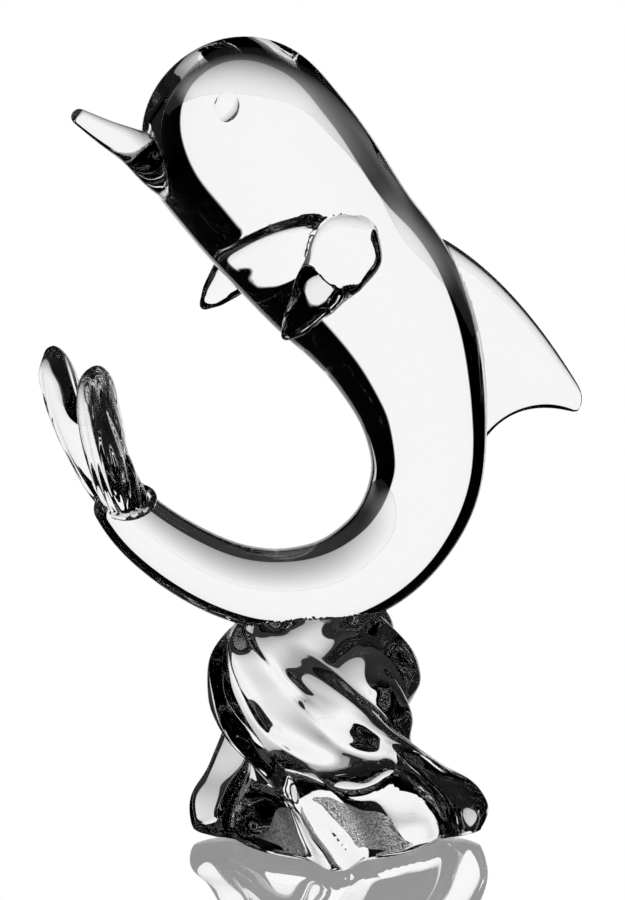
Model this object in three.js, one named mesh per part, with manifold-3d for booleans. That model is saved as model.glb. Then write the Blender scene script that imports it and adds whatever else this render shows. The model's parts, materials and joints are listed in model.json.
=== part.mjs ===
// A leaping dolphin of solid clear glass on a twisted foot with four ridges. The figure, its fins and
// the foot are worked together hot, so they are one piece of glass and one solid.
// Millimetres, +Z up. The dolphin's plane of symmetry is y = 0 and it faces -X. The origin is the
// middle of the foot's flat underside.

import * as THREE from "three";
import { mergeVertices } from "three/addons/utils/BufferGeometryUtils.js";
import Module from "manifold-3d";

// Foot
const footHeight = 75; // from the table to the top of the foot, inside the belly
const baseRadius = 34; // the round core where it meets the table
const waistRadius = 25.5;
const bulbRadius = 27.5; // the swelling above the waist, in the grooves between its strands
const crownRadius = 25; // against the belly
const crownNarrowing = 0.5; // the crown's width across the belly, as a share of its length
const edgeRounding = 1.5; // how far the core draws in at its lowest edge
const ridgeCount = 4;
const ridgeHeight = 15; // how far a ridge stands out from the core near the waist
const ridgeSharpness = 8; // degrees from a ridge's crest to where it has fallen by half
const ridgePower = 4; // how steep a ridge's sides are
const grooveBehind = 12; // degrees from a ridge's crest back to the groove behind it, on the bulb
const strandFullness = 2.2; // how full the strands between the bulb's grooves are
const ridgeDirection = -22; // degrees from +X to the first ridge, at the table
const footTwist = 123; // degrees that a ridge turns between the table and the top
const twistQuickening = 1.45; // above 1, the ridges turn faster as they rise
const footLean = -8.4; // how far the top stands from the middle of the underside, along X

// Dolphin
const figureHeight = 184; // from the lowest point of the belly to the top of the head
const seatDepth = 7.5; // how far the foot reaches up into the belly
const bodyFlatness = 0.95; // the body's half width as a share of its half depth
const headRoundness = 0.93; // the length of the head's dome as a share of its radius
const dorsalThickness = 12; // at the root
const dorsalTipThickness = 3.5;
const pectoralThickness = 16;
const pectoralTipThickness = 5;
const flukeThickness = 14;
const flukeTipThickness = 10;
const eyeDepth = 0.9; // how deep each eye is pressed into the head
const eyeLength = 10.5;
const eyeWidth = 7.5;

// Facets
const bodySides = 28;
const bodySteps = 40;
const finSides = 18;
const finSteps = 13;
const ridgeSides = 18; // around one ridge
const footSteps = 26;
const domeSteps = 6;

const glass = new THREE.MeshStandardMaterial({
  color: 0xf4f7f7,
  roughness: 0.03,
  metalness: 0,
  transparent: true,
  opacity: 0.35,
});

const bellyHeight = footHeight - seatDepth;

// A point of the figure, given in percent of figureHeight: back, left side and up from the belly.
const at = (x, y, z) =>
  new THREE.Vector3(x, y, z).multiplyScalar(figureHeight / 100);

// The spine from head to tail. Each point is [x, half depth, z] in percent of figureHeight.
const spinePoints = [
  [-17.4, 16.8, 83.5],
  [-9.0, 16.9, 73.8],
  [-0.4, 15.7, 63.2],
  [6.7, 14.8, 55.3],
  [12.3, 13.2, 45.9],
  [16.0, 10.8, 34.4],
  [16.2, 9.6, 24.2],
  [11.3, 8.7, 14.4],
  [1.3, 7.9, 7.9],
  [-9.1, 7.0, 7.0],
  [-18.5, 6.5, 9.2],
  [-27.9, 5.9, 14.2],
  [-35.7, 5.2, 20.4],
  [-38.8, 4.6, 24.3],
];

// The beak from inside the head to its tip, as [x, half depth, z].
const beakPoints = [
  [-23.0, 6.5, 76.5],
  [-30.3, 4.5, 78.9],
  [-35.6, 3.0, 82.3],
  [-40.2, 2.15, 84.7],
  [-44.8, 1.35, 87.5],
];
const beakFlatness = 1.35;

// The dorsal fin's leading and trailing edges, each a curve of three [x, z] points.
const dorsalLeading = [
  [16.0, 66.5],
  [32.0, 59.0],
  [46.7, 35.2],
];
const dorsalTrailing = [
  [24.0, 24.6],
  [29.6, 39.2],
  [46.0, 33.0],
];

// The left pectoral fin from root to tip, as [x, y, z, half width].
const pectoralPoints = [
  [-0.4, -13.0, 70.8, 4.9],
  [-2.6, -14.2, 68.4, 6.2],
  [-5.6, -15.3, 65.0, 6.3],
  [-9.6, -16.6, 60.7, 4.9],
  [-13.6, -17.7, 56.6, 3.0],
  [-17.1, -18.5, 52.5, 1.3],
];

// The left fluke from the tail to its tip, as [x, y, z, half width].
const flukePoints = [
  [-36.8, -1.5, 22.5, 3.6],
  [-41.2, -4.1, 30.0, 4.7],
  [-44.1, -7.0, 37.0, 5.6],
  [-45.6, -9.8, 43.2, 5.6],
  [-46.4, -12.2, 48.8, 3.8],
];

// The way from the middle of the head to the left eye.
const eyeDirection = new THREE.Vector3(-0.45, -0.8, 0.39).normalize();

// A closed surface through rings of points, each end drawn to an apex.
function skin(rings, firstApex, lastApex) {
  const sides = rings[0].length;
  const points = [firstApex, ...rings.flat(), lastApex];
  const last = points.length - 1;
  const index = [];
  for (let i = 0; i < sides; i++) {
    const j = (i + 1) % sides;
    index.push(0, 1 + j, 1 + i);
    for (let k = 0; k < rings.length - 1; k++) {
      const a = 1 + k * sides;
      const b = a + sides;
      index.push(a + i, a + j, b + j, a + i, b + j, b + i);
    }
    index.push(last, last - sides + i, last - sides + j);
  }
  const geometry = new THREE.BufferGeometry().setFromPoints(points);
  geometry.setIndex(index);
  return geometry;
}

// An elliptical ring about a centre, with half widths along two directions.
function ring(centre, u, halfU, v, halfV, sides) {
  return Array.from({ length: sides }, (_, i) => {
    const angle = (2 * Math.PI * i) / sides;
    return centre
      .clone()
      .addScaledVector(u, halfU * Math.cos(angle))
      .addScaledVector(v, halfV * Math.sin(angle));
  });
}

// A round limb along a spine in the plane y = 0, with a rounded end at its first and last points.
function limb(points, flatness, firstDome, lastDome, sides, steps) {
  const curve = new THREE.CatmullRomCurve3(points.map((p) => at(...p)), false, "centripetal");
  const side = new THREE.Vector3(0, 1, 0);
  const frame = (t) => {
    const p = curve.getPoint(t);
    const tangent = curve.getTangent(t).setY(0).normalize();
    return { centre: new THREE.Vector3(p.x, 0, p.z), half: p.y, tangent };
  };
  const section = ({ centre, half, tangent }) => {
    const depth = new THREE.Vector3().crossVectors(tangent, side);
    return ring(centre, depth, half, side, half * flatness, sides);
  };
  // The rounded end swells from a section as half of an ellipsoid.
  const dome = (end, length, direction) =>
    Array.from({ length: domeSteps - 1 }, (_, i) => {
      const angle = ((i + 1) / domeSteps) * (Math.PI / 2);
      const centre = end.centre
        .clone()
        .addScaledVector(end.tangent, direction * length * end.half * Math.sin(angle));
      return section({ ...end, centre, half: end.half * Math.cos(angle) });
    });
  const first = frame(0);
  const last = frame(1);
  const body = Array.from({ length: steps + 1 }, (_, i) => section(frame(i / steps)));
  const rings = [...dome(first, firstDome, -1).reverse(), ...body, ...dome(last, lastDome, 1)];
  const apex = (end, length) =>
    end.centre.clone().addScaledVector(end.tangent, length * end.half);
  return skin(rings, apex(first, -firstDome), apex(last, lastDome));
}

// How full a fin's section is at a share of its length: it rounds off over the last stretch.
const roundOff = (t, stretch) =>
  t < 1 - stretch ? 1 : Math.sqrt(Math.max(1 - ((t - 1 + stretch) / stretch) ** 2, 0));

// The dorsal fin: sections from the leading edge to the trailing edge, thicker in front.
function dorsalFin() {
  const edge = (points) =>
    new THREE.QuadraticBezierCurve3(...points.map(([x, z]) => at(x, 0, z)));
  const leading = edge(dorsalLeading);
  const trailing = edge(dorsalTrailing);
  const rings = [];
  for (let k = 0; k < finSteps; k++) {
    const t = k / finSteps;
    const front = leading.getPoint(t);
    const back = trailing.getPoint(t);
    const full = roundOff(t, 0.25);
    const half = (THREE.MathUtils.lerp(dorsalThickness, dorsalTipThickness, t) / 2) * full;
    rings.push(
      Array.from({ length: finSides }, (_, i) => {
        const angle = (2 * Math.PI * i) / finSides;
        const chord = (1 - Math.cos(angle)) / 2;
        const point = front.clone().lerp(back, chord);
        return point.setY(Math.sin(angle) * half * (1.15 - 0.55 * chord));
      }),
    );
  }
  const root = leading.getPoint(0).lerp(trailing.getPoint(0), 0.5);
  const tip = leading.getPoint(1).lerp(trailing.getPoint(1), 0.5);
  return skin(rings, root, tip);
}

// A paired fin: elliptical sections along its line, wide across it and thin along "flat".
function pairedFin(points, flat, thickness, tipThickness, rootRounding) {
  const line = new THREE.CatmullRomCurve3(points.map(([x, y, z]) => at(x, y, z)));
  const widths = new THREE.CatmullRomCurve3(points.map((p) => at(p[3], 0, 0)));
  const rings = [];
  for (let k = 1; k < finSteps; k++) {
    const t = k / finSteps;
    const tangent = line.getTangent(t);
    const across = new THREE.Vector3().crossVectors(tangent, flat).normalize();
    const through = new THREE.Vector3().crossVectors(across, tangent).normalize();
    const full = roundOff(t, 0.2) * roundOff(1 - t, rootRounding);
    const half = (THREE.MathUtils.lerp(thickness, tipThickness, t) / 2) * full;
    rings.push(ring(line.getPoint(t), across, widths.getPoint(t).x * full, through, half, finSides));
  }
  return skin(rings, line.getPoint(0), line.getPoint(1));
}

// How far a ridge stands out at an angle from its crest, from 0 to 1. Near the table it falls away
// alike on both sides. On the bulb it is a full strand that falls into a groove close behind its crest.
function standsOut(fromCrest, strand) {
  const span = 360 / ridgeCount;
  const ridge = (angle) => 1 / (1 + Math.abs(angle / ridgeSharpness) ** ridgePower);
  const low = (ridge(fromCrest) - ridge(span / 2)) / (1 - ridge(span / 2));
  const behind = fromCrest > grooveBehind ? fromCrest - span : fromCrest;
  const reach = behind > 0 ? grooveBehind : span - grooveBehind;
  const high = 1 - (Math.abs(behind) / reach) ** strandFullness;
  return THREE.MathUtils.lerp(low, high, strand);
}

// The twisted foot: a round core whose ridges turn as they rise and become the bulb's strands.
function twistedFoot() {
  const { lerp, degToRad, smoothstep } = THREE.MathUtils;
  // Each level is a share of the height, the core's radius, and shares of the ridges' height and lean.
  const levels = [
    [0, baseRadius - edgeRounding, 0.72, 0],
    [0.03, baseRadius, 0.78, 0],
    [0.08, baseRadius, 0.85, -0.03],
    [0.15, lerp(baseRadius, waistRadius, 0.1), 0.93, -0.08],
    [0.27, lerp(baseRadius, waistRadius, 0.65), 1, -0.12],
    [0.4, waistRadius, 0.9, 0.35],
    [0.53, lerp(waistRadius, bulbRadius, 0.75), 0.7, 0.8],
    [0.66, bulbRadius, 0.47, 0.9],
    [0.8, lerp(bulbRadius, crownRadius, 0.35), 0.35, 0.95],
    [0.93, crownRadius, 0.15, 1],
    [1, crownRadius * 0.8, 0.08, 1],
  ];
  const curve = (points) => new THREE.CatmullRomCurve3(points.map((p) => new THREE.Vector3(...p)));
  const profile = curve(levels.map(([rise, core, ridge]) => [core, ridge * ridgeHeight, rise * footHeight]));
  const middle = curve(levels.map(([rise, , , lean]) => [lean * footLean, 0, rise * footHeight]));
  const rings = [];
  for (let k = 0; k <= footSteps; k++) {
    const { x: core, y: ridge, z } = profile.getPoint(k / footSteps);
    const rise = THREE.MathUtils.clamp(z / footHeight, 0, 1);
    const turn = ridgeDirection - footTwist * rise ** twistQuickening;
    const lean = middle.getPoint(k / footSteps).x;
    const width = lerp(1, crownNarrowing, smoothstep(rise, 0.7, 1));
    const strand = smoothstep(rise, 0.35, 0.65);
    const points = [];
    for (let i = 0; i < ridgeSides * ridgeCount; i++) {
      // The facets are narrow at a crest and wide between two crests.
      const step = (2 * (i % ridgeSides)) / ridgeSides;
      const away = step < 1 ? step ** 1.6 : 2 - (2 - step) ** 1.6;
      const span = 180 / ridgeCount;
      const fromCrest = span * (away > 1 ? away - 2 : away);
      const radius = core + ridge * standsOut(fromCrest, strand);
      const angle = degToRad(turn + span * (away + 2 * Math.floor(i / ridgeSides)));
      points.push(
        new THREE.Vector3(lean + radius * Math.cos(angle), width * radius * Math.sin(angle), z),
      );
    }
    rings.push(points);
  }
  return skin(rings, new THREE.Vector3(0, 0, 0), new THREE.Vector3(footLean, 0, footHeight));
}

// The shallow hollow pressed into the left side of the head for an eye.
function eyeHollow() {
  const [x, half, z] = spinePoints[0];
  const flattened = eyeDirection.clone().divide(new THREE.Vector3(1, bodyFlatness, 1));
  const reach = (half * figureHeight) / 100 / flattened.length();
  const place = at(x, 0, z).addScaledVector(eyeDirection, reach);
  const geometry = new THREE.SphereGeometry(1, 20, 14);
  geometry.scale(eyeWidth / 2, eyeLength / 2, eyeDepth);
  const turn = new THREE.Quaternion().setFromUnitVectors(new THREE.Vector3(0, 0, 1), eyeDirection);
  geometry.applyQuaternion(turn);
  return geometry.translate(place.x, place.y, place.z);
}

const mirrored = (geometry) => geometry.clone().scale(1, -1, 1);

const wasm = await Module();
wasm.setup();

// A closed geometry as a solid with its faces outwards.
function solid(geometry) {
  const bare = geometry.clone();
  bare.deleteAttribute("normal");
  bare.deleteAttribute("uv");
  const merged = mergeVertices(bare, 1e-4);
  const vertProperties = merged.attributes.position.array;
  const triVerts = new Uint32Array(merged.index.array);
  const made = new wasm.Manifold(new wasm.Mesh({ numProp: 3, vertProperties, triVerts }));
  if (made.volume() > 0) return made;
  return new wasm.Manifold(
    new wasm.Mesh({ numProp: 3, vertProperties, triVerts: triVerts.reverse() }),
  );
}

function geometryOf(made) {
  const { vertProperties, triVerts } = made.getMesh();
  return new THREE.BufferGeometry()
    .setAttribute("position", new THREE.BufferAttribute(new Float32Array(vertProperties), 3))
    .setIndex(new THREE.BufferAttribute(new Uint32Array(triVerts), 1));
}

function dolphin() {
  const body = solid(limb(spinePoints, bodyFlatness, headRoundness, 0.7, bodySides, bodySteps));
  const beak = solid(limb(beakPoints, beakFlatness, 0.5, 1, finSides, 8));
  const side = new THREE.Vector3(0, 1, 0);
  const pectoral = pairedFin(pectoralPoints, side, pectoralThickness, pectoralTipThickness, 0.3);
  const tailDirection = new THREE.Vector3(1, 0, 0.3).normalize();
  const fluke = pairedFin(flukePoints, tailDirection, flukeThickness, flukeTipThickness, 0.15);
  const eye = eyeHollow();
  let made = body.add(beak).add(solid(dorsalFin()));
  for (const fin of [pectoral, fluke]) made = made.add(solid(fin)).add(solid(mirrored(fin)));
  for (const hollow of [eye, mirrored(eye)]) made = made.subtract(solid(hollow));
  return made;
}

const figurine = new THREE.Mesh(
  geometryOf(dolphin().translate([0, 0, bellyHeight]).add(solid(twistedFoot()))),
  glass,
);
figurine.name = "dolphin_figurine";

const group = new THREE.Group();
group.add(figurine);
export default group;
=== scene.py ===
import json
import math

import bmesh
import bpy
from mathutils import Matrix, Vector

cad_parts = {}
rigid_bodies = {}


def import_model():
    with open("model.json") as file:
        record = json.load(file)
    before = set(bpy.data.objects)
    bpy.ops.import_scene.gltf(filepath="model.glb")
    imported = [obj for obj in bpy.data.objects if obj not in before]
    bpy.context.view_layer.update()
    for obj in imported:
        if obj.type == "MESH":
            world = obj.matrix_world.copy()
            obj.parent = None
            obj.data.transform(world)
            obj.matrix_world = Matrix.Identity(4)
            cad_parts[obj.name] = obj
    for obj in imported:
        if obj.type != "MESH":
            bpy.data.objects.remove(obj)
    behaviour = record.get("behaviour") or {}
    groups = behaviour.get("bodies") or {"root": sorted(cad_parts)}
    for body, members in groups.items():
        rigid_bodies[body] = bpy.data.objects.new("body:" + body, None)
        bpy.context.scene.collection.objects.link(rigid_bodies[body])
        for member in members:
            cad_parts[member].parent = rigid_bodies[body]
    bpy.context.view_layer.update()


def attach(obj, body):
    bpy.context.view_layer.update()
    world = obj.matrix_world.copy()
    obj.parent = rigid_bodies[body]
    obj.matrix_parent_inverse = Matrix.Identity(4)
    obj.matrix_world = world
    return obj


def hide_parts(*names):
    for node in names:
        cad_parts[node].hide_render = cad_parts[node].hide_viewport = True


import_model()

percent = 0.00184  # the dolphin is 184 mm tall and is drawn in percent of that
bellyHeight = 0.0675  # where the dolphin's lowest point lies, sunk into the crown of the foot

drawing = {  # how finely the glass is drawn out
    "curveSteps": 24,  # between two given points of a curve
    "domeReach": 84,  # degrees round a rounded end, up to its small flat cap
    "smoothing": 2,  # subdivision levels of each lump
    "flatBelow": 0.003,  # the waviness of the glass stays off the underside
    "creaseAngle": 35,  # degrees; sharper edges are not shaded smooth
}


def pull(p0, p1, p2, p3, share):
    # centripetal spline from p1 to p2
    t1 = (p1 - p0).length ** 0.5
    t2 = t1 + (p2 - p1).length ** 0.5
    t3 = t2 + (p3 - p2).length ** 0.5
    t = t1 + (t2 - t1) * share
    a = (p0 * (t1 - t) + p1 * t) / t1
    b = (p1 * (t2 - t) + p2 * (t - t1)) / (t2 - t1)
    c = (p2 * (t3 - t) + p3 * (t - t2)) / (t3 - t2)
    d = (a * (t2 - t) + b * t) / t2
    e = (b * (t3 - t) + c * (t - t1)) / (t3 - t1)
    return (d * (t2 - t) + e * (t - t1)) / (t2 - t1)


def alongCurve(points, count):
    # count + 1 evenly spaced stations on a smooth curve through the points
    steps = drawing["curveSteps"]
    knots = [Vector(p) for p in points]
    knots = [knots[0] * 2 - knots[1]] + knots + [knots[-1] * 2 - knots[-2]]
    fine = []
    for i in range(len(points) - 1):
        fine += [pull(*knots[i:i + 4], k / steps) for k in range(steps)]
    fine.append(knots[-2])
    run = [0]
    for a, b in zip(fine, fine[1:]):
        run.append(run[-1] + (b - a).length)
    stations, i = [], 0
    for k in range(count + 1):
        goal = run[-1] * k / count
        while i < len(run) - 2 and run[i + 1] < goal:
            i += 1
        stations.append(fine[i].lerp(fine[i + 1], (goal - run[i]) / (run[i + 1] - run[i])))
    return stations


def smoothStep(value, low, high):
    share = min(max((value - low) / (high - low), 0), 1)
    return share * share * (3 - 2 * share)


def between(a, b, share):
    return a + (b - a) * share


def startFresh():
    if bpy.context.object and bpy.context.object.mode != "OBJECT":
        bpy.ops.object.mode_set(mode="OBJECT")
    bpy.ops.object.select_all(action="DESELECT")


def makeActive(piece):
    startFresh()
    piece.select_set(True)
    bpy.context.view_layer.objects.active = piece


def applyPlace():
    bpy.ops.object.transform_apply(location=True, rotation=True, scale=True)


def applyModifier(piece, kind, **settings):
    makeActive(piece)
    modifier = piece.modifiers.new(kind.lower(), kind)
    for key, value in settings.items():
        setattr(modifier, key, value)
    bpy.ops.object.modifier_apply(modifier=modifier.name)


def smoothOut(piece):
    levels = drawing["smoothing"]
    applyModifier(piece, "SUBSURF", levels=levels, render_levels=levels)


def applyAbove(piece, height, kind, **settings):
    # a modifier that leaves what lies below a height as it is
    group = piece.vertex_groups.new(name="free")
    group.add([v.index for v in piece.data.vertices if v.co.z > height], 1, "REPLACE")
    applyModifier(piece, kind, vertex_group="free", **settings)
    piece.vertex_groups.clear()


def fuse(piece, other, operation="UNION"):
    applyModifier(piece, "BOOLEAN", operation=operation, solver="EXACT", object=other)
    bpy.data.objects.remove(other)


def turnRing(angle, middle, axis="Y"):
    # right-handed turn of what is selected
    bpy.ops.transform.rotate(value=-angle, orient_axis=axis, center_override=middle)


def closeEnds():
    bpy.ops.mesh.select_mode(type="VERT")
    bpy.ops.mesh.select_all(action="DESELECT")
    bpy.ops.mesh.select_non_manifold()
    bpy.ops.mesh.fill_holes(sides=0)
    bpy.ops.mesh.select_all(action="SELECT")
    bpy.ops.mesh.normals_make_consistent(inside=False)


def wayAlong(places):
    # the heading of each ring, square to the line through its neighbours
    headings = []
    for i in range(len(places)):
        way = places[min(i + 1, len(places) - 1)] - places[max(i - 1, 0)]
        headings.append(math.atan2(way.x, way.z))
    for i in range(1, len(headings)):  # without a jump of a full turn
        while headings[i] - headings[i - 1] > math.pi:
            headings[i] -= 2 * math.pi
        while headings[i - 1] - headings[i] > math.pi:
            headings[i] += 2 * math.pi
    return headings


def drawOut(name, stations, sides, headings=None):
    # a lump of glass drawn out ring by ring in the XZ plane, and closed at both ends;
    # a station is x, z, half depth in that plane, half width across it
    places = [Vector((s[0], 0, s[1])) for s in stations]
    headings = headings or wayAlong(places)
    swell = 3 / (2 + math.cos(2 * math.pi / sides))  # what subdivision takes off a ring
    startFresh()
    bpy.ops.mesh.primitive_circle_add(vertices=sides, radius=1, location=places[0])
    lump = bpy.context.object
    lump.name = name
    applyPlace()
    bpy.ops.object.mode_set(mode="EDIT")
    bpy.ops.mesh.select_all(action="SELECT")
    deep, wide = 1, 1
    for i, (place, station) in enumerate(zip(places, stations)):
        if i:
            bpy.ops.mesh.extrude_region_move(
                TRANSFORM_OT_translate={"value": place - places[i - 1]})
            turnRing(-headings[i - 1], place)
        newDeep, newWide = station[2] * swell, station[3] * swell
        bpy.ops.transform.resize(value=(newDeep / deep, newWide / wide, 1), center_override=place)
        deep, wide = newDeep, newWide
        turnRing(headings[i], place)
    closeEnds()
    bpy.ops.object.mode_set(mode="OBJECT")
    return lump


def domed(stations, first, last, rings):
    # rounds the ends of a run of stations; first and last are dome length over radius
    angles = [math.radians(drawing["domeReach"]) * k / rings for k in range(1, rings + 1)]
    start = [domeStation(stations[0], stations[1], first, angle) for angle in reversed(angles)]
    end = [domeStation(stations[-1], stations[-2], last, angle) for angle in angles]
    return start + [tuple(s) for s in stations] + end


def domeStation(end, inner, roundness, angle):
    away = Vector((end[0] - inner[0], end[1] - inner[1])).normalized()
    reach = end[2] * roundness * math.sin(angle)
    shrink = math.cos(angle)
    return (end[0] + away.x * reach, end[1] + away.y * reach, end[2] * shrink, end[3] * shrink)


def drawAlong(name, form):
    # a round lump drawn out along its spine
    run = [
        (p[0] * percent, p[1] * percent + bellyHeight, p[2] * percent,
         p[2] * percent * form["breadth"])
        for p in alongCurve(form["spine"], form["stations"])
    ]
    lump = drawOut(name, domed(run, *form["endRoundness"], form["endRings"]), form["sides"])
    smoothOut(lump)
    return lump


def unsmooth(piece, kind, grain, depth, **look):
    # the unevenness that hot glass keeps; the flat underside stays flat
    texture = bpy.data.textures.new(piece.name + "_" + kind.lower(), kind)
    texture.noise_scale = grain
    for key, value in look.items():
        setattr(texture, key, value)
    applyAbove(piece, drawing["flatBelow"], "DISPLACE", texture=texture, strength=depth,
               mid_level=0.5)


body = {
    "spine": [  # x, z, half depth
        (-17.4, 83.5, 16.8), (-9.0, 73.8, 16.9), (-0.4, 63.2, 15.7), (6.7, 55.3, 14.8),
        (12.3, 45.9, 13.2), (16.0, 34.4, 10.8), (16.2, 24.2, 9.6), (11.3, 14.4, 8.7),
        (1.3, 7.9, 7.9), (-9.1, 7.0, 7.0), (-18.5, 9.2, 6.5), (-27.9, 14.2, 5.9),
        (-35.7, 20.4, 5.2), (-38.8, 24.3, 4.6),
    ],
    "breadth": 0.95,  # half width over half depth
    "endRoundness": (0.93, 0.7),  # of the head and of the tail's end
    "endRings": 6,
    "stations": 46,
    "sides": 20,
    "waves": (0.03, 0.0008),  # size and depth of its waviness
}


def makeBody():
    lump = drawAlong("body", body)
    unsmooth(lump, "CLOUDS", *body["waves"], noise_depth=0)
    return lump


beak = {
    "spine": [  # x, z, half height
        (-23.0, 76.5, 6.5), (-30.3, 78.9, 4.5), (-35.6, 82.3, 3.0), (-40.2, 84.7, 2.15),
        (-44.8, 87.5, 1.35),
    ],
    "breadth": 1.35,
    "endRoundness": (0.5, 1),
    "endRings": 4,
    "stations": 12,
    "sides": 16,
}

dorsal = {
    "leading": [(16.0, 66.5), (32.0, 59.0), (46.7, 35.2)],  # three points of a plain arc
    "trailing": [(24.0, 24.6), (29.6, 39.2), (46.0, 33.0)],
    "start": 0.04,  # shares of the arcs over which it is drawn out
    "run": 0.93,
    "levels": 16,
    "thickness": 0.012,
    "tipThickness": 0.0035,
    "tipRounding": 0.25,
    "sides": 24,
}


def arcPoint(corners, share):
    a, b, c = (Vector(p) for p in corners)
    return a.lerp(b, share).lerp(b.lerp(c, share), share)


def rounded(share, stretch):
    # how full a section is: it rounds off over the last stretch
    if share < 1 - stretch:
        return 1
    return max(1 - ((share - 1 + stretch) / stretch) ** 2, 0) ** 0.5


def makeDorsal():
    # its rings follow the chord between its leading and its trailing edge
    run, headings = [], []
    for k in range(dorsal["levels"] + 1):
        share = dorsal["start"] + dorsal["run"] * k / dorsal["levels"]
        front, back = arcPoint(dorsal["leading"], share), arcPoint(dorsal["trailing"], share)
        middle, chord = (front + back) / 2, front - back
        thick = dorsal["thickness"] * (1 - share) + dorsal["tipThickness"] * share
        run.append((middle.x * percent, middle.y * percent + bellyHeight,
                    chord.length * percent / 2, thick / 2 * rounded(share, dorsal["tipRounding"])))
        headings.append(math.atan2(-chord.y, chord.x))
    fin = drawOut("dorsal_fin", run, dorsal["sides"], headings)
    smoothOut(fin)
    return fin


pectoral = {
    "path": [  # x, y, z, half breadth
        (-0.4, -13.0, 70.8, 4.9), (-2.6, -14.2, 68.4, 6.2), (-5.6, -15.3, 65.0, 6.3),
        (-9.6, -16.6, 60.7, 4.9), (-13.6, -17.7, 56.6, 3.0), (-17.1, -18.5, 52.5, 1.3),
    ],
    "across": (0, 1, 0),  # the way its thickness runs
    "thickness": 0.016,
    "tipThickness": 0.005,
    "tipRounding": 0.2,
    "rootRounding": 0.3,
    "sides": 20,
    "facets": (0.011, 0.0018),  # size and depth of the flats where it was pressed
}

fluke = {
    "path": [
        (-36.8, -1.5, 22.5, 3.6), (-41.2, -4.1, 30.0, 4.7), (-44.1, -7.0, 37.0, 5.6),
        (-45.6, -9.8, 43.2, 5.6), (-46.4, -12.2, 48.8, 3.8),
    ],
    "across": (1, 0, 0.3),
    "thickness": 0.014,
    "tipThickness": 0.010,
    "tipRounding": 0.2,
    "rootRounding": 0.15,
    "sides": 24,
    "rings": {
        "centre": (0, -0.0015, 0.027),
        "across": 0.0022,  # from one ring to the next
        "along": 0.016,
        "depth": 0.0009,
        "aside": -24,  # degrees from the edge round to where the rings face
        "fade": (-0.001, 0.004),  # they fade out round the edge, over this depth
    },
    "collar": {"height": 0.0045, "radius": 0.0067, "thickness": 0.0014},  # rolled round its root
}

sideFin = {
    "levels": 18,
    "start": 0.05,  # how far round the half turn the first level lies; they crowd at both ends
    "run": 0.9,
    "lineSteps": 200,
    "textureRing": 0.314,  # from ring to ring of the wood texture at its own size
    "collarSegments": (56, 14),
}


def pressRings(lump, rings):
    # nested long ovals left by the tongs on the outer edge of the fin
    aside = math.radians(rings["aside"])
    outward = Vector((math.cos(aside), math.sin(aside), 0))
    group = lump.vertex_groups.new(name="outer")
    for v in lump.data.vertices:
        group.add([v.index], smoothStep(v.co.dot(outward), *rings["fade"]), "REPLACE")
    holder = bpy.data.objects.new("ring_holder", None)
    bpy.context.scene.collection.objects.link(holder)
    holder.location = rings["centre"]
    holder.rotation_euler = (0, 0, aside)
    holder.scale = (1, rings["across"] / sideFin["textureRing"],
                    rings["along"] / sideFin["textureRing"])
    bpy.context.view_layer.update()
    texture = bpy.data.textures.new("tong_rings", "WOOD")
    texture.wood_type = "RINGS"
    applyModifier(lump, "DISPLACE", texture=texture, strength=rings["depth"], mid_level=0.5,
                  texture_coords="OBJECT", texture_coords_object=holder, vertex_group="outer")
    lump.vertex_groups.clear()
    bpy.data.objects.remove(holder)


def addCollar(lump, collar):
    around, through = sideFin["collarSegments"]
    startFresh()
    bpy.ops.mesh.primitive_torus_add(
        major_segments=around, minor_segments=through, major_radius=collar["radius"],
        minor_radius=collar["thickness"], location=(0, 0, collar["height"]))
    fuse(lump, bpy.context.object)


def bend(lump, sweep):
    # the slight bend across its breadth; sweep holds height and offset along it
    for v in lump.data.vertices:
        z = min(max(v.co.z, sweep[0][0]), sweep[-1][0])
        for a, b in zip(sweep, sweep[1:]):
            if a[0] <= z <= b[0]:
                v.co.y += a[1] + (b[1] - a[1]) * (z - a[0]) / (b[0] - a[0])
                break


def makeSideFin(name, fin):
    # the fin is drawn out upright along Z with its breadth along X, then turned into place
    points = [Vector(p) for p in fin["path"]]
    root, tip = points[0].xyz, points[-1].xyz
    up = (tip - root).normalized()
    across = Vector(fin["across"])
    across = (across - up * across.dot(up)).normalized()
    broad = across.cross(up)
    line = alongCurve(points, sideFin["lineSteps"])
    run, sweep = [], []
    for k in range(sideFin["levels"] + 1):
        around = math.pi * (sideFin["start"] + sideFin["run"] * k / sideFin["levels"])
        share = (1 - math.cos(around)) / 2
        p = line[round(share * sideFin["lineSteps"])]
        off = (p.xyz - root) * percent
        full = rounded(share, fin["tipRounding"]) * rounded(1 - share, fin["rootRounding"])
        thick = fin["thickness"] * (1 - share) + fin["tipThickness"] * share
        run.append((off.dot(broad), off.dot(up), p[3] * percent * full, thick / 2 * full))
        sweep.append((off.dot(up), off.dot(across)))
    lump = drawOut(name, run, fin["sides"])
    bend(lump, sweep)
    smoothOut(lump)
    if "rings" in fin:
        pressRings(lump, fin["rings"])
    if "collar" in fin:
        addCollar(lump, fin["collar"])
    if "facets" in fin:
        unsmooth(lump, "VORONOI", *fin["facets"])
    place = Matrix((broad, across, up)).transposed().to_4x4()
    place.translation = root * percent + Vector((0, 0, bellyHeight))
    lump.matrix_world = place
    makeActive(lump)
    applyPlace()
    return lump


def mirrorCopy(piece, name):
    # the same form on the other side, with its own mesh
    makeActive(piece)
    bpy.ops.object.duplicate()
    twin = bpy.context.object
    twin.name = name
    bpy.ops.transform.resize(value=(1, -1, 1), center_override=(0, 0, 0))
    applyPlace()
    bpy.ops.object.mode_set(mode="EDIT")
    bpy.ops.mesh.select_all(action="SELECT")
    bpy.ops.mesh.normals_make_consistent(inside=False)
    bpy.ops.object.mode_set(mode="OBJECT")
    return twin


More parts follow.
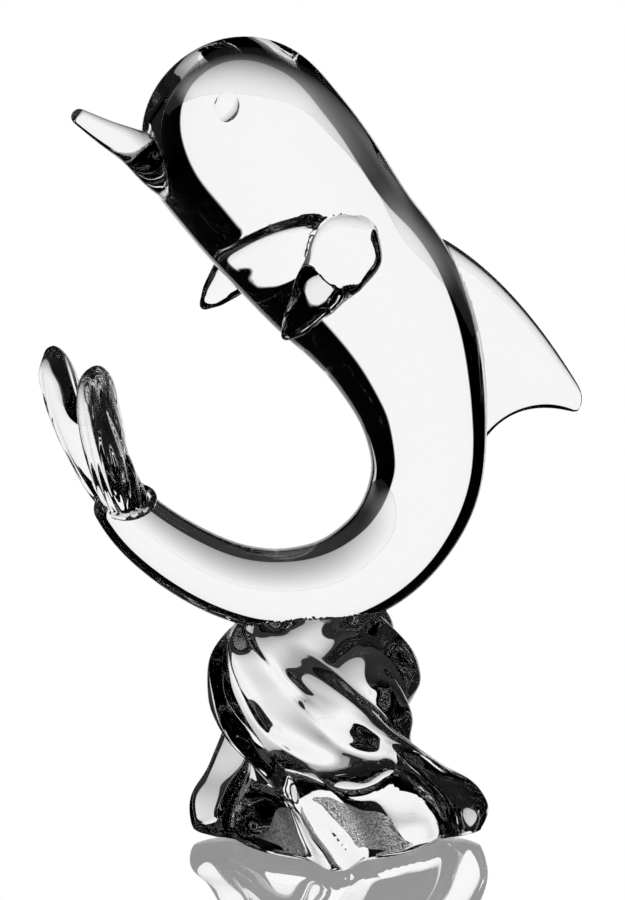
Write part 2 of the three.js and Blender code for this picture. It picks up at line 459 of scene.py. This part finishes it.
foot = {
    "height": 0.075,
    "base": 0.034,  # radius between the ridges at the table, and so on up to the crown
    "waist": 0.0255,
    "bulb": 0.0275,
    "crown": 0.025,
    "crownNarrowing": 0.5,  # width over depth at the very top, which follows the belly
    "narrowing": (0.7, 1),  # shares of the height over which it narrows
    "edgeRounding": 0.0015,
    "ridges": 4,
    "ridgeHeight": 0.015,
    "ridgeSharpness": 8,  # degrees to half its height
    "ridgePower": 4,  # how steep its sides are
    "strands": (0.35, 0.65),  # shares of the height over which ridges become strands
    "grooveBehind": 12,  # degrees from a crest back to the groove between two strands of the bulb
    "fullness": 2.2,  # how round a strand is
    "creaseBehind": 33,  # degrees from a crest back to the crease between strand and web
    "creaseDepth": 1.1,
    "creaseWidth": 14,
    "ridgeDirection": -22,  # degrees, at the table
    "twist": 123,  # degrees up to the crown
    "twistQuickening": 1.45,
    "lean": -0.0084,  # how far the bulb stands forward of the base
    "crowding": 1.3,  # how much closer the points lie at a crest
    "waves": (0.013, 0.0012),
    "settling": 14,  # how long it flowed after it was twisted
    "settlesAbove": 0.0012,
    "pointsPerRidge": 20,
    "levels": 28,
}


def footStations():
    # core radius, height of the ridges, z and lean of each level
    base, waist, bulb, crown = foot["base"], foot["waist"], foot["bulb"], foot["crown"]
    # share of the height, core radius, share of the ridge's height, share of the lean
    table = [
        (0, base - foot["edgeRounding"], 0.72, 0), (0.03, base, 0.78, 0), (0.08, base, 0.85, -0.03),
        (0.15, between(base, waist, 0.1), 0.93, -0.08),
        (0.27, between(base, waist, 0.65), 1, -0.12), (0.4, waist, 0.9, 0.35),
        (0.53, between(waist, bulb, 0.75), 0.7, 0.8), (0.66, bulb, 0.47, 0.9),
        (0.8, between(bulb, crown, 0.35), 0.35, 0.95), (0.93, crown, 0.15, 1),
        (1, crown * 0.8, 0.08, 1),
    ]
    knots = [(core, ridge * foot["ridgeHeight"], rise * foot["height"], lean * foot["lean"])
             for rise, core, ridge, lean in table]
    return alongCurve(knots, foot["levels"])


def standsOut(away, strand):
    # how far a point stands out, by its degrees from the crest. A ridge falls from 1 on its
    # crest to 0 midway to the next. As strand goes from 0 to 1 it becomes a strand, which
    # falls from 1 on its crest to 0 in the groove behind the crest before it
    span, power, groove = 180 / foot["ridges"], foot["ridgePower"], foot["grooveBehind"]
    midway = 1 / (1 + (span / foot["ridgeSharpness"]) ** power)
    low = (1 / (1 + abs(away / foot["ridgeSharpness"]) ** power) - midway) / (1 - midway)
    if away < groove - 2 * span or away > groove:
        away -= math.copysign(2 * span, away)
    if away <= 0:
        high = 1 - (-away / (2 * span - groove)) ** foot["fullness"]
        off = (away + foot["creaseBehind"]) / foot["creaseWidth"]
        high *= 1 - foot["creaseDepth"] * math.exp(-off * off)
    else:
        high = 1 - (away / groove) ** foot["fullness"]
    return low + (high - low) * strand


def ringPoints(lump, middle, turn):
    # the selected ring in order of angle, grouped by place on a ridge
    perRidge = foot["pointsPerRidge"]
    mesh = bmesh.from_edit_mesh(lump.data)
    start = turn - math.pi / foot["ridges"] + 1e-3  # a hair past the first point
    mesh.verts.index_update()
    ring = sorted((v for v in mesh.verts if v.select), key=lambda v: (
        math.atan2(v.co.y - middle.y, v.co.x - middle.x) - start) % (2 * math.pi))
    return [[v.index for v in ring[k::perRidge]] for k in range(perRidge)]


def pick(lump, points):
    bpy.ops.mesh.select_all(action="DESELECT")
    mesh = bmesh.from_edit_mesh(lump.data)
    mesh.verts.ensure_lookup_table()
    for index in points:
        mesh.verts[index].select_set(True)
    mesh.select_flush_mode()


def makeFoot():
    perRidge = foot["pointsPerRidge"]
    half, span = perRidge // 2, 180 / foot["ridges"]
    origin = Vector((0, 0, 0))
    startFresh()
    bpy.ops.mesh.primitive_circle_add(vertices=perRidge * foot["ridges"], radius=1,
                                      location=origin)
    lump = bpy.context.object
    lump.name = "twisted_foot"
    bpy.ops.object.mode_set(mode="EDIT")
    bpy.ops.mesh.select_mode(type="VERT")

    # the points of one ridge lie close together at its crest and wide apart between two
    angles = []
    for k, points in zip(range(1 - half, half + 1), ringPoints(lump, origin, 0)):
        angles.append(math.copysign(span * (abs(k) / half) ** foot["crowding"], k))
        pick(lump, points)
        turnRing(math.radians(angles[-1] - k * span / half), origin, "Z")
    bpy.ops.mesh.select_all(action="SELECT")

    turn, narrow, radii, middle = 0, 1, [1] * perRidge, origin
    for i, (core, ridge, z, lean) in enumerate(footStations()):
        rise = min(max(z / foot["height"], 0), 1)
        newMiddle = Vector((lean, 0, max(z, 0)))
        if i:
            bpy.ops.mesh.extrude_region_move(
                TRANSFORM_OT_translate={"value": newMiddle - middle})
        middle = newMiddle
        bpy.ops.transform.resize(value=(1, 1 / narrow, 1), center_override=middle)
        groups = ringPoints(lump, middle, turn)
        strand = smoothStep(rise, *foot["strands"])
        newRadii = [core + ridge * standsOut(angle, strand) for angle in angles]
        for points, radius, newRadius in zip(groups, radii, newRadii):
            pick(lump, points)
            size = newRadius / radius
            bpy.ops.transform.resize(value=(size, size, 1), center_override=middle)
        pick(lump, (index for points in groups for index in points))
        newTurn = math.radians(
            foot["ridgeDirection"] - foot["twist"] * rise ** foot["twistQuickening"])
        turnRing(newTurn - turn, middle, "Z")
        turn, radii = newTurn, newRadii
        narrow = 1 + (foot["crownNarrowing"] - 1) * smoothStep(rise, *foot["narrowing"])
        bpy.ops.transform.resize(value=(1, narrow, 1), center_override=middle)
    closeEnds()
    bpy.ops.object.mode_set(mode="OBJECT")
    smoothOut(lump)
    applyAbove(lump, foot["settlesAbove"], "SMOOTH", factor=0.5, iterations=foot["settling"])
    unsmooth(lump, "CLOUDS", *foot["waves"], noise_depth=0)
    return lump


joins = {
    "sharpness": 28,  # degrees; joins sharper than this flow
    "above": 0.004,  # the edge of the underside stays as it is
    "flow": 4,
    "merge": 0.00002,  # points closer than this are one
    "sliver": 0.00001,
    "rounds": 3,
}


def softenJoins(piece):
    # the glass flows a little where two lumps met hot
    makeActive(piece)
    bpy.ops.object.mode_set(mode="EDIT")
    bpy.ops.mesh.select_mode(type="EDGE")
    bpy.ops.mesh.select_all(action="DESELECT")
    bpy.ops.mesh.edges_select_sharp(sharpness=math.radians(joins["sharpness"]))
    bpy.ops.mesh.select_mode(type="VERT")
    bpy.ops.mesh.select_more()
    mesh = bmesh.from_edit_mesh(piece.data)
    for v in mesh.verts:
        if v.co.z < joins["above"]:
            v.select_set(False)
    mesh.select_flush_mode()
    bpy.ops.mesh.vertices_smooth(factor=0.5, repeat=joins["flow"])
    bpy.ops.object.mode_set(mode="OBJECT")


def strayFaces(mesh):
    # faces that lie back to back, and open flaps on an edge that has its two faces already
    sameCorners = {}
    for face in mesh.faces:
        sameCorners.setdefault(frozenset(v.index for v in face.verts), []).append(face)
    stray = {face for faces in sameCorners.values() if len(faces) > 1 for face in faces}
    for face in mesh.faces:
        shared = [len(edge.link_faces) for edge in face.edges]
        if min(shared) == 1 and max(shared) > 2:
            stray.add(face)
    return list(stray)


def cleanSeams(piece):
    # clears the slivers and stray faces that joining leaves
    makeActive(piece)
    bpy.ops.object.mode_set(mode="EDIT")
    bpy.ops.mesh.select_mode(type="VERT")
    bpy.ops.mesh.select_all(action="SELECT")
    bpy.ops.mesh.remove_doubles(threshold=joins["merge"])
    bpy.ops.mesh.quads_convert_to_tris()
    bpy.ops.mesh.dissolve_degenerate(threshold=joins["sliver"])
    mesh = bmesh.from_edit_mesh(piece.data)
    for _ in range(joins["rounds"]):
        mesh.verts.index_update()
        bmesh.ops.delete(mesh, geom=strayFaces(mesh), context="FACES")
        bpy.ops.mesh.select_all(action="DESELECT")
        bpy.ops.mesh.select_non_manifold(use_multi_face=False, use_verts=False)
        bpy.ops.mesh.fill_holes(sides=0)
        bpy.ops.mesh.select_all(action="SELECT")
        bpy.ops.mesh.quads_convert_to_tris()
        mesh = bmesh.from_edit_mesh(piece.data)
    print("seams cleaned, edges left open", sum(len(e.link_faces) != 2 for e in mesh.edges))
    bpy.ops.object.mode_set(mode="OBJECT")
    piece.data.validate()


eye = {
    "towards": (-0.45, 0.8, 0.39),  # from the middle of the head
    "breadth": 0.0078,
    "height": 0.0102,
    "depth": 0.0026,
    "stampSpread": 0.6,  # half the stamp's breadth over the breadth of its print
    "stampDepth": 2.25,  # half the stamp's thickness over the depth of its print
    "stampStart": 0.07,  # from the middle of the head, well outside it
}


def pressEye(piece, side):
    # a shallow oval dimple
    headX, headZ, _ = body["spine"][0]
    middle = Vector((headX * percent, 0, headZ * percent + bellyHeight))
    towards = Vector(eye["towards"]).normalized()
    towards.y *= side
    _, place, normal, _ = piece.ray_cast(middle + towards * eye["stampStart"], -towards)
    startFresh()
    bpy.ops.mesh.primitive_uv_sphere_add(segments=48, ring_count=24, radius=1)
    stamp = bpy.context.object
    spread, depth = eye["stampSpread"], eye["depth"]
    stamp.scale = (eye["breadth"] * spread, eye["height"] * spread, depth * eye["stampDepth"])
    stamp.rotation_mode = "QUATERNION"
    stamp.rotation_quaternion = normal.to_track_quat("Z", "Y")
    stamp.location = place + normal * depth * (eye["stampDepth"] - 1)
    applyPlace()
    fuse(piece, stamp, "DIFFERENCE")


glass = makeBody()
print("body drawn out", len(glass.data.polygons))
for other in (drawAlong("beak", beak), makeDorsal()):
    fuse(glass, other)
print("fused beak and dorsal fin", len(glass.data.polygons))
for name, fin in (("pectoral_fin", pectoral), ("fluke", fluke)):
    left = makeSideFin(name + "_left", fin)
    right = mirrorCopy(left, name + "_right")
    fuse(glass, left)
    fuse(glass, right)
    print("fused both of", name, len(glass.data.polygons))
fuse(glass, makeFoot())
softenJoins(glass)
print("fused the foot", len(glass.data.polygons))
for side in (-1, 1):
    pressEye(glass, side)
glass.name = "glass_dolphin"
cleanSeams(glass)
print("eyes pressed", sum(len(face.vertices) - 2 for face in glass.data.polygons), "triangles")
makeActive(glass)
bpy.ops.object.shade_smooth_by_angle(angle=math.radians(drawing["creaseAngle"]))
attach(glass, "root")
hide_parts("dolphin_figurine")


class Wire:
    # a shader socket that takes part in Python expressions
    def __init__(self, finish, socket):
        self.finish, self.socket = finish, socket

    def maths(self, operation, *values):
        node = self.finish.node("ShaderNodeMath", dict(enumerate(values)), operation=operation)
        return self.finish.wire(node)

    def __add__(self, other):
        return self.maths("ADD", self, other)

    def __radd__(self, other):
        return self.maths("ADD", other, self)

    def __sub__(self, other):
        return self.maths("SUBTRACT", self, other)

    def __rsub__(self, other):
        return self.maths("SUBTRACT", other, self)

    def __mul__(self, other):
        return self.maths("MULTIPLY", self, other)

    def __rmul__(self, other):
        return self.maths("MULTIPLY", other, self)

    def __lt__(self, other):
        return self.maths("LESS_THAN", self, other)

    def __abs__(self):
        return self.maths("ABSOLUTE", self)

    def root(self):
        return self.maths("SQRT", self)

    def highest(self, other):
        return self.maths("MAXIMUM", self, other)

    def step(self, low, high):
        # 0 at low and 1 at high, eased at both
        node = self.finish.node(
            "ShaderNodeMapRange", {"Value": self, "From Min": low, "From Max": high},
            interpolation_type="SMOOTHSTEP")
        return self.finish.wire(node)


class Finish:
    # a fresh node tree of a material or world
    def __init__(self, tree):
        self.tree = tree
        tree.nodes.clear()

    def node(self, kind, values=None, **settings):
        made = self.tree.nodes.new(kind)
        for key, value in settings.items():
            setattr(made, key, value)
        for key, value in (values or {}).items():
            if isinstance(value, Wire):
                self.tree.links.new(value.socket, made.inputs[key])
            else:
                made.inputs[key].default_value = value
        return made

    def wire(self, node, output=0):
        return Wire(self, node.outputs[output])

    def places(self, kind):
        # x, y and z of one of the texture coordinates
        spot = self.node("ShaderNodeTexCoord")
        parts = self.node("ShaderNodeSeparateXYZ", {0: self.wire(spot, kind)})
        return [self.wire(parts, k) for k in range(3)]


def newFinish(name):
    material = bpy.data.materials.new(name)
    material.use_nodes = True
    return material, Finish(material.node_tree)


glassLook = {
    "bending": 1.5,  # index of refraction
    "ripple": {"Scale": 45.0, "Detail": 1.0, "Roughness": 0.4},
    "rippleStrength": 0.12,
    "rippleDepth": 0.001,
}

ground = {  # the rough patch in the middle of the underside
    "radius": 0.018,
    "raggedness": 0.022,
    "edge": {"Scale": 160.0, "Detail": 6.0, "Roughness": 0.65},
    "grain": {"Scale": 1400.0, "Detail": 2.0},
    "grainContrast": (0.35, 0.65),
    "roughness": 0.5,
    "dimming": 0.4,
    "below": 0.0002,  # it lies on the underside alone
}


def glassFinish():
    material, finish = newFinish("clear_glass")
    across, deep, up = finish.places("Object")
    spot = finish.wire(finish.node("ShaderNodeTexCoord"), "Object")
    ragged = finish.wire(finish.node("ShaderNodeTexNoise", {"Vector": spot, **ground["edge"]}))
    grain = finish.wire(finish.node("ShaderNodeTexNoise", {"Vector": spot, **ground["grain"]}))
    speckle = grain.step(*ground["grainContrast"])
    reach = (across * across + deep * deep).root() + (ragged - 0.5) * ground["raggedness"]
    patch = (reach < ground["radius"]) * (up < ground["below"])
    ripple = finish.node("ShaderNodeTexNoise", {"Vector": spot, **glassLook["ripple"]})
    bump = finish.node("ShaderNodeBump", {
        "Strength": glassLook["rippleStrength"], "Distance": glassLook["rippleDepth"],
        "Height": finish.wire(ripple)})
    glaze = finish.node("ShaderNodeBsdfPrincipled", {
        "Base Color": 1 - patch * (ground["dimming"] + ground["dimming"] * speckle),
        "IOR": glassLook["bending"], "Transmission Weight": 1.0,
        "Roughness": patch * (ground["roughness"] * (0.5 + speckle)),
        "Normal": finish.wire(bump)})
    finish.node("ShaderNodeOutputMaterial", {"Surface": finish.wire(glaze)})
    return material


glass.data.materials.clear()
glass.data.materials.append(glassFinish())
print("glass finish made")


view = {
    "azimuth": -22.5,
    "elevation": 10.5,
    "distance": 1.15,
    "aim": (-0.008314, 0, 0.123666),
    "lens": 150,
}


def makeCamera():
    turn, lift = math.radians(view["azimuth"]), math.radians(view["elevation"])
    back = Vector((math.sin(turn) * math.cos(lift), -math.cos(turn) * math.cos(lift),
                   math.sin(lift)))
    lens = bpy.data.cameras.new("camera")
    lens.lens = view["lens"]
    camera = bpy.data.objects.new("camera", lens)
    bpy.context.scene.collection.objects.link(camera)
    camera.location = Vector(view["aim"]) + back * view["distance"]
    camera.rotation_euler = back.to_track_quat("Z", "Y").to_euler()
    bpy.context.scene.camera = camera


studio = {
    "panelDistance": 0.42,  # half the width of the table too
    "panelInset": 0.985,  # share of that distance at which the panels stand
    "panelTop": 0.32,
    "panelSoftness": 0.06,  # share of the panel over which its light fades at the edge
    "panels": [  # degrees round from the one behind the figure, width, light
        (0, 0.5, 1.0), (90, 0.5, 0.9), (135, 0.36, 0.9), (180, 0.5, 0.9), (225, 0.36, 0.9),
        (270, 0.5, 0.9),
    ],
    "tableSize": 1.98,  # over the panels' distance
    "tableDrop": 0.0003,  # it lies this far below the underside
    "tableGloss": 0.03,  # roughness of its faint mirror
    "tableGlow": 0.015,  # what the table gives the glass close to the foot
    "tableNear": 0.05,  # the same, straight through
    "tableFar": 0.85,  # and close to the panels, straight through
    "glowReach": (0.12, 0.42),  # how far out the table gets brighter
    "glowWidth": (0.14, 0.27),  # and how wide that is in front of a panel
    "directDepth": 2.5,  # light that met at most two faces of the glass has a ray depth below it
    "bounces": 32,
    "glossyBounces": 12,
}


def straightThrough(finish, path):
    # 1 for light that went in at one face of the glass and out at another
    direct = finish.wire(path, "Ray Depth") < studio["directDepth"]
    return direct * finish.wire(path, "Is Transmission Ray")


def panelFinish(strength, straightOnly):
    # shines from its front and is not in the way of the camera
    material, finish = newFinish("panel_light")
    across, up, _ = finish.places("UV")
    across = across * 2 - 1
    edge = (across * across + up * up).root().step(1 - studio["panelSoftness"], 1)
    path = finish.node("ShaderNodeLightPath")
    side = finish.node("ShaderNodeNewGeometry")
    hidden = finish.wire(side, "Backfacing").highest(finish.wire(path, "Is Camera Ray"))
    hidden = hidden.highest(edge)
    if straightOnly:
        hidden = hidden.highest(1 - straightThrough(finish, path))
    lit = finish.node("ShaderNodeEmission", {"Strength": (1 - edge) * strength})
    clear = finish.node("ShaderNodeBsdfTransparent")
    mix = finish.node("ShaderNodeMixShader",
                      {0: hidden, 1: finish.wire(lit), 2: finish.wire(clear)})
    finish.node("ShaderNodeOutputMaterial", {"Surface": finish.wire(mix)})
    return material


def makePanels():
    reach, top = studio["panelInset"] * studio["panelDistance"], studio["panelTop"]
    for around, width, strength in studio["panels"]:
        angle = math.radians(view["azimuth"] + around)
        startFresh()
        bpy.ops.mesh.primitive_plane_add(
            size=1, location=(-math.sin(angle) * reach, math.cos(angle) * reach, top / 2),
            rotation=(math.pi / 2, 0, angle))
        panel = bpy.context.object
        panel.name = "light_panel"
        panel.scale = (width, top, 1)
        panel.data.materials.append(panelFinish(strength, around > 0))


def tableFinish():
    # white to the camera, faintly glossy, and dark under the glass to give it its black outlines
    material, finish = newFinish("table_finish")
    across, deep, _ = (abs(place) for place in finish.places("Object"))
    reach, width = studio["glowReach"], studio["glowWidth"]
    towardsPanels = (deep.step(*reach) * (1 - across.step(*width))
                     + across.step(*reach) * (1 - deep.step(*width)))
    path = finish.node("ShaderNodeLightPath")
    glow = studio["tableGlow"] + straightThrough(finish, path) * (
        studio["tableNear"] - studio["tableGlow"]
        + (studio["tableFar"] - studio["tableNear"]) * towardsPanels)
    white = finish.node("ShaderNodeEmission", {
        "Strength": glow.highest(finish.wire(path, "Is Camera Ray"))})
    gloss = finish.node("ShaderNodeBsdfGlossy", {
        "Color": (1, 1, 1, 1), "Roughness": studio["tableGloss"]})
    facing = finish.node("ShaderNodeLayerWeight", {"Blend": 0.5})
    mix = finish.node("ShaderNodeMixShader", {
        0: finish.wire(facing, "Facing"), 1: finish.wire(white), 2: finish.wire(gloss)})
    finish.node("ShaderNodeOutputMaterial", {"Surface": finish.wire(mix)})
    return material


def makeTable():
    startFresh()
    bpy.ops.mesh.primitive_plane_add(
        size=studio["tableSize"] * studio["panelDistance"], location=(0, 0, -studio["tableDrop"]),
        rotation=(0, 0, math.radians(view["azimuth"])))
    table = bpy.context.object
    table.name = "table_top"
    table.data.materials.append(tableFinish())


def makeSky():
    # white to the camera, also where it is mirrored in the table, and dark to the glass
    world = bpy.data.worlds.new("studio")
    bpy.context.scene.world = world
    world.use_nodes = True
    finish = Finish(world.node_tree)
    path = finish.node("ShaderNodeLightPath")
    mirrored = (finish.wire(path, "Is Glossy Ray") - finish.wire(path, "Is Singular Ray")) * (
        finish.wire(path, "Ray Depth") < studio["directDepth"])
    sky = finish.node("ShaderNodeBackground", {
        "Color": (1, 1, 1, 1), "Strength": finish.wire(path, "Is Camera Ray").highest(mirrored)})
    finish.node("ShaderNodeOutputWorld", {"Surface": finish.wire(sky)})


makeCamera()
makePanels()
makeTable()
makeSky()
scene = bpy.context.scene
scene.view_settings.view_transform = "Standard"
scene.cycles.max_bounces = studio["bounces"]
scene.cycles.transmission_bounces = studio["bounces"]
scene.cycles.glossy_bounces = studio["glossyBounces"]
print("camera, light panels and table made")
